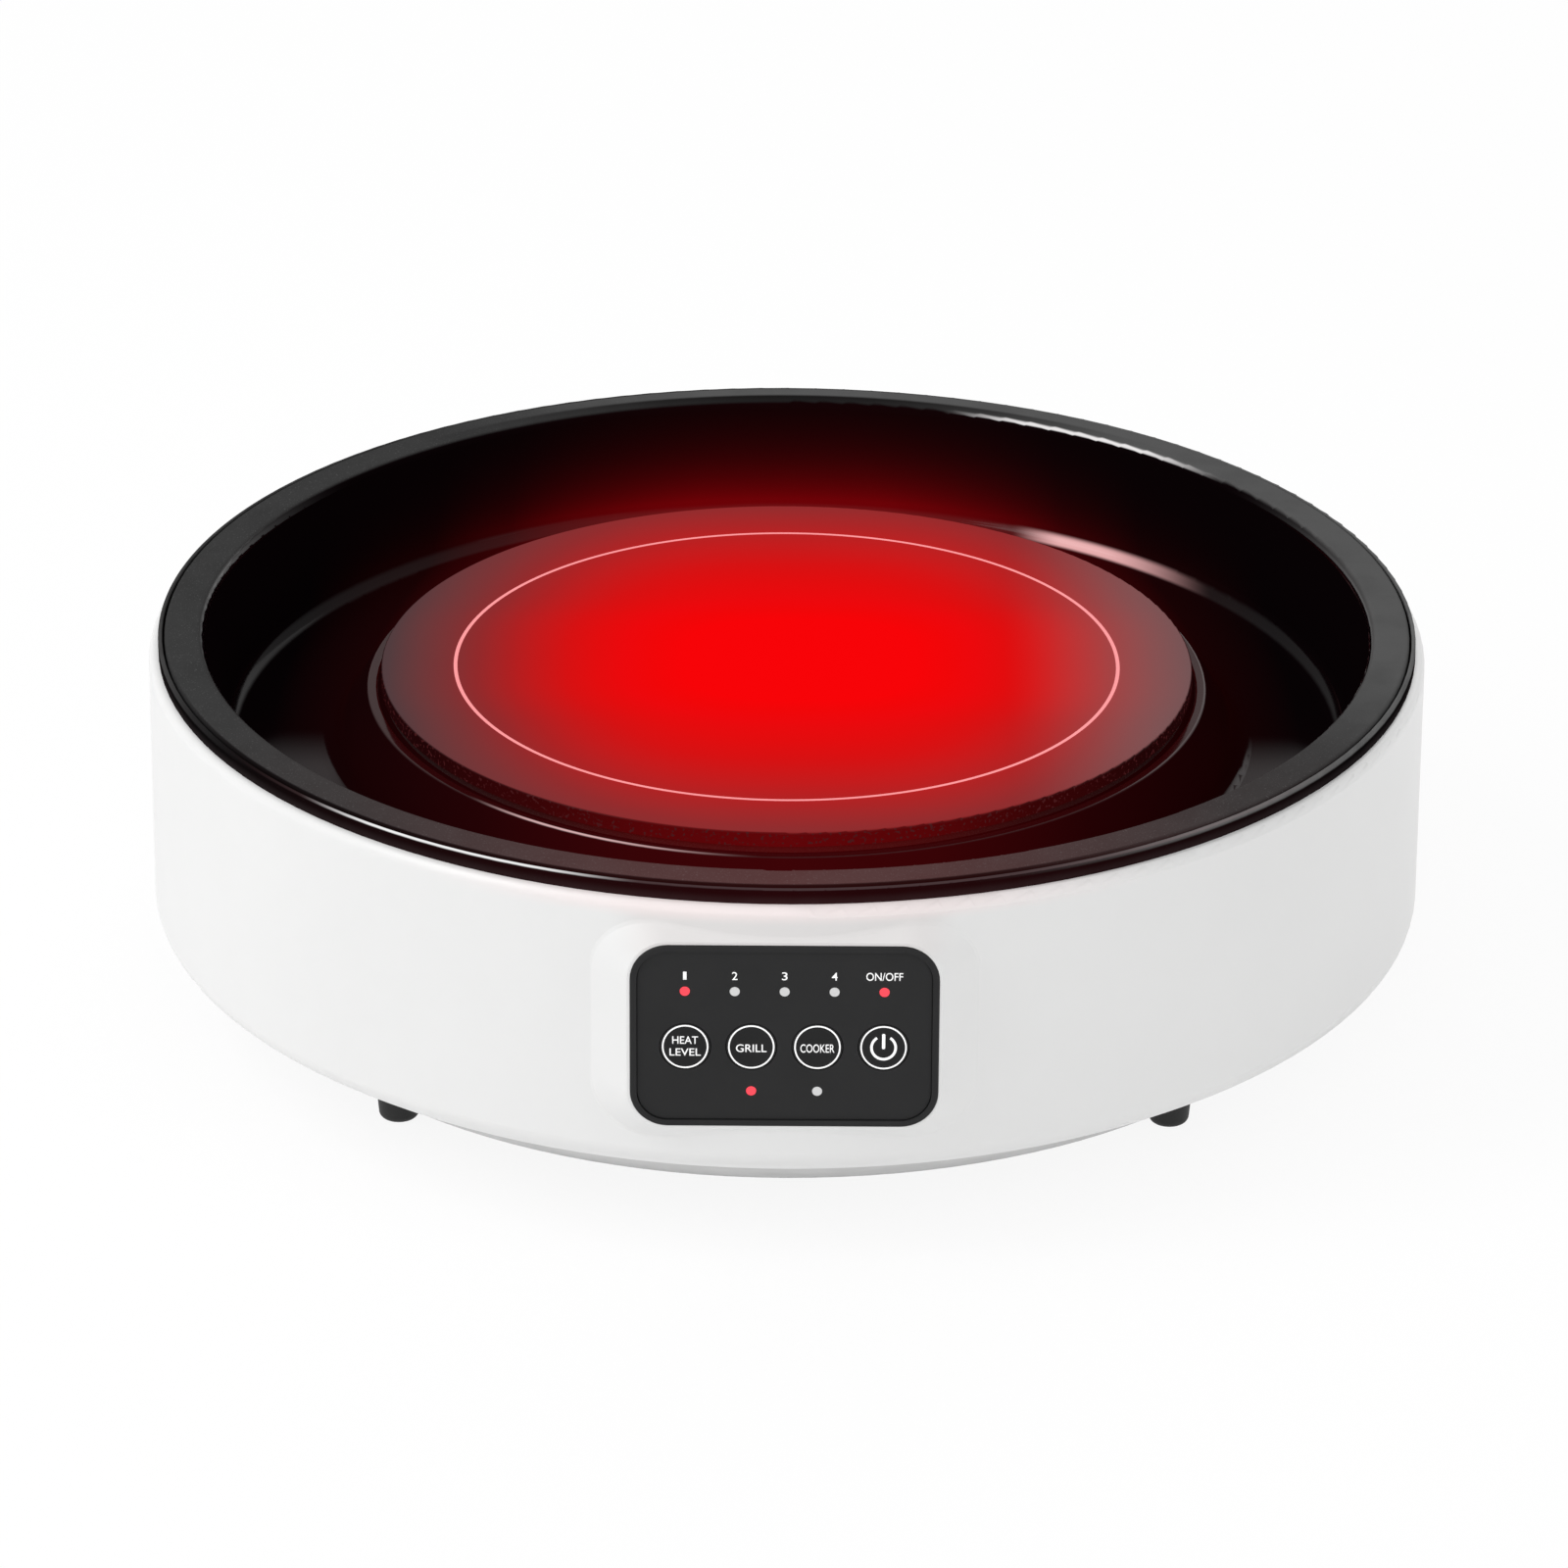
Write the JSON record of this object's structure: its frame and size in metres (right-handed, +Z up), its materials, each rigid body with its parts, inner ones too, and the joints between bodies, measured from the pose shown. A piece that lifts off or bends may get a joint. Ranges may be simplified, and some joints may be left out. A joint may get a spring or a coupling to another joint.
{
  "type": "infrared ceramic cooker",
  "caption": "Round countertop radiant cooker: white body on feet, sunken dark basin with a raised glowing ceramic plate and a flat front panel with sprung keys.",
  "frame": {"origin": "on the table under the body's axis, at the bottom centre of the bounding box", "axes": "+Z up through the ceramic plate, -Y out of the control panel, +X to the right of someone facing the panel"},
  "size_m": [0.345, 0.347, 0.106],
  "materials": {
    "shell_white": "white moulded plastic, satin gloss",
    "base_white": "light grey moulded plastic",
    "foot_rubber": "black rubber",
    "trim_black": "black moulded plastic",
    "basin_coat": "cast aluminium with a dark satin coating",
    "plate_glass": "dark glass ceramic, glowing red",
    "fibre": "pressed mineral fibre",
    "sheet_steel": "plain pressed steel",
    "coil_metal": "resistance ribbon",
    "block_ceramic": "unglazed ceramic",
    "screw_steel": "zinc plated steel",
    "fan_black": "black moulded plastic",
    "bronze": "sintered bronze and copper wire",
    "board_green": "glass fibre circuit board",
    "part_black": "black component plastic",
    "part_blue": "blue component plastic",
    "part_white": "white component plastic",
    "fin_metal": "extruded aluminium",
    "fuse_glass": "clear glass tube",
    "core_steel": "laminated core and winding",
    "panel_black": "black moulded plastic",
    "panel_face": "dark grey panel film",
    "key_face": "dark grey key cap with a white ring",
    "lens_clear": "milky light guide",
    "gland_black": "black bush",
    "lead_sleeve": "heat-proof lead sleeve"
  },
  "bodies": {
    "cooker": {"base_cover": "base_white", "base_screws": "screw_steel", "basin_screws": "screw_steel", "board_headers": "part_white", "board_terminals": "part_blue", "bracket_screws": "screw_steel", "ceramic_plate": "plate_glass", "control_board": "board_green", "control_board_screws": "screw_steel", "control_chip": "part_black", "control_ribbon": "lead_sleeve", "cooking_basin": "basin_coat", "cord_gland": "gland_black", "fan_bearing": "bronze", "fan_frame": "fan_black", "fan_lead": "lead_sleeve", "fan_stator": "bronze", "filter_capacitor": "part_blue", "front_left_foot": "foot_rubber", "front_right_foot": "foot_rubber", "heat_shield": "sheet_steel", "heater_bracket": "sheet_steel", "heater_leads": "lead_sleeve", "heater_pan": "sheet_steel", "heater_spring": "sheet_steel", "heater_terminals": "block_ceramic", "heating_coil": "coil_metal", "indicator_leds": "part_white", "indicator_lenses": "lens_clear", "inner_screws": "screw_steel", "insulation_base": "fibre", "insulation_ring": "fibre", "key_switches": "part_black", "limiter_rod": "block_ceramic", "limiter_switch": "block_ceramic", "line_choke": "part_black", "mains_fuse": "fuse_glass", "outer_shell": "shell_white", "panel_bezel": "panel_black", "panel_overlay": "panel_face", "plate_gasket": "fibre", "power_board": "board_green", "power_relay": "part_black", "rear_left_foot": "foot_rubber", "rear_right_foot": "foot_rubber", "shield_rivets": "screw_steel", "standby_transformer": "core_steel", "triac": "part_black", "triac_heatsink": "fin_metal", "trim_ring": "trim_black"},
    "heat_level_key_body": {"heat_level_key": "key_face", "heat_level_plunger": "part_white"},
    "grill_key_body": {"grill_key": "key_face", "grill_plunger": "part_white"},
    "cooker_key_body": {"cooker_key": "key_face", "cooker_plunger": "part_white"},
    "power_key_body": {"power_key": "key_face", "power_plunger": "part_white"},
    "fan": {"fan_rotor": "fan_black", "fan_shaft": "screw_steel"}
  },
  "joints": [
    {"name": "heat_level_key_press", "type": "slide", "parent": "cooker", "child": "heat_level_key_body", "axis": [0, 1, 0], "range_m": [0, 0.0006], "stiffness_N_per_m": 900, "springref_m": -0.0004},
    {"name": "grill_key_press", "type": "slide", "parent": "cooker", "child": "grill_key_body", "axis": [0, 1, 0], "range_m": [0, 0.0006], "stiffness_N_per_m": 900, "springref_m": -0.0004},
    {"name": "cooker_key_press", "type": "slide", "parent": "cooker", "child": "cooker_key_body", "axis": [0, 1, 0], "range_m": [0, 0.0006], "stiffness_N_per_m": 900, "springref_m": -0.0004},
    {"name": "power_key_press", "type": "slide", "parent": "cooker", "child": "power_key_body", "axis": [0, 1, 0], "range_m": [0, 0.0006], "stiffness_N_per_m": 900, "springref_m": -0.0004},
    {"name": "fan_spin", "type": "hinge", "parent": "cooker", "child": "fan", "pos_m": [-0.05865, 0.04419, 0.0277], "axis": [0, 0, 1], "continuous": true}
  ]
}
